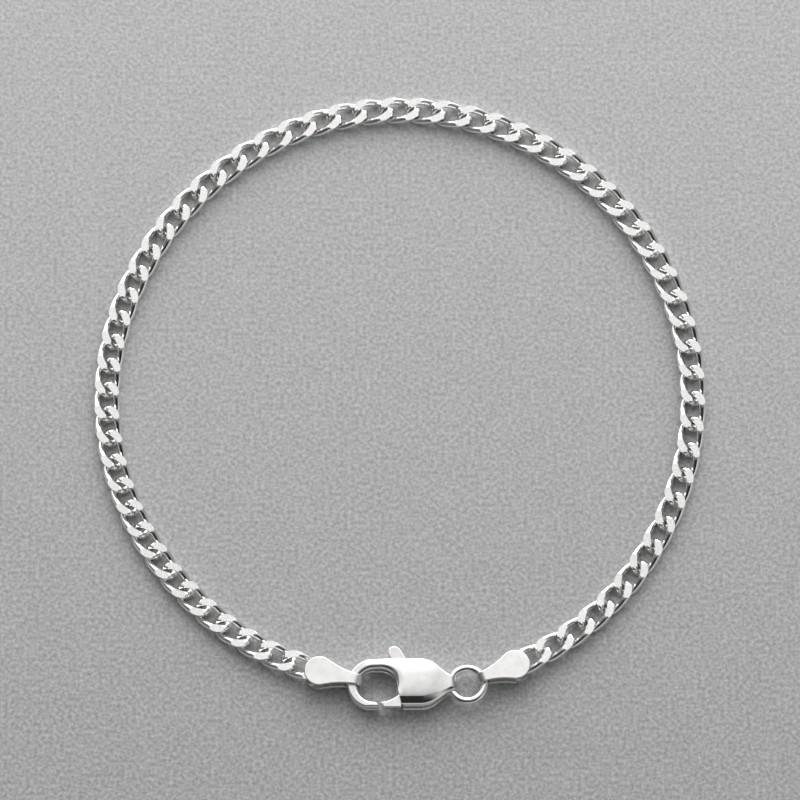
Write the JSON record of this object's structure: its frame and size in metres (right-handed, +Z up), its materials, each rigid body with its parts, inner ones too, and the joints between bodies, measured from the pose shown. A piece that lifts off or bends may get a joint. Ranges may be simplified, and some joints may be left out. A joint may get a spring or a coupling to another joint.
{
  "type": "link bracelet",
  "caption": "Flat curb-link wrist bracelet of silver wire, closed by a lobster clasp hooked through a folded teardrop end tab, with a jump ring to the tab at the other end.",
  "frame": {"origin": "middle of the bracelet's outline, on the surface it lies on", "axes": "+X along the clasp towards its tail and the jump ring, +Y from the clasp across the loop, +Z up from the surface"},
  "size_m": [0.063, 0.0662, 0.0025],
  "materials": {
    "chain_silver": "bright polished silver, ground flats with a fine grain",
    "tab_silver": "bright polished silver",
    "ring_silver": "bright polished silver wire",
    "clasp_silver": "bright polished silver",
    "lever_silver": "polished silver, a little satin"
  },
  "bodies": {
    "bracelet": {"curb_chain": "chain_silver", "end_tab_left": "tab_silver", "end_tab_right": "tab_silver", "jump_ring": "ring_silver", "clasp_body": "clasp_silver", "pivot_pin": "lever_silver"},
    "lever": {"clasp_lever": "lever_silver"}
  },
  "joints": [
    {"name": "lever_hinge", "type": "hinge", "parent": "bracelet", "child": "lever", "pos_m": [0.00152, -0.03173, 0.00125], "axis": [0, 0, -1], "range_deg": [0, 24], "stiffness_Nm_per_rad": 0.01, "springref_deg": -0.06}
  ]
}
